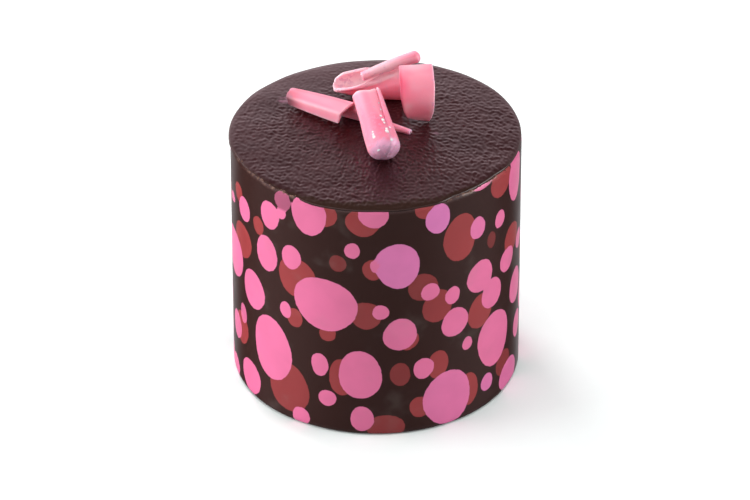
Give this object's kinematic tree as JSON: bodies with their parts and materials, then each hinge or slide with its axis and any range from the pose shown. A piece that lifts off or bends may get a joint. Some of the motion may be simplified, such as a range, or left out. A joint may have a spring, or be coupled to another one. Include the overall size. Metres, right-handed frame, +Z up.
{
  "type": "chocolate ganache cake",
  "caption": "Small round chocolate cake with a ganache top, a dotted chocolate collar round the side and pink chocolate curls.",
  "frame": {"origin": "middle of the flat underside, on the surface that the cake stands on", "axes": "+Z up along the cake's own axis, -Y towards the side seen from the front, +X to its right"},
  "size_m": [0.0656, 0.0656, 0.0727],
  "materials": {
    "ganache": "satin, finely pebbled dark chocolate glaze",
    "collar": "smooth dark chocolate with pink and red cocoa butter dots",
    "pink_chocolate": "soft satin pink chocolate shavings"
  },
  "bodies": {
    "root": {"ganache_cake": "ganache", "printed_collar": "collar", "curl_left": "pink_chocolate", "curl_front": "pink_chocolate", "curl_back": "pink_chocolate", "curl_roll": "pink_chocolate", "curl_right": "pink_chocolate", "curl_under": "pink_chocolate"}
  },
  "joints": []
}
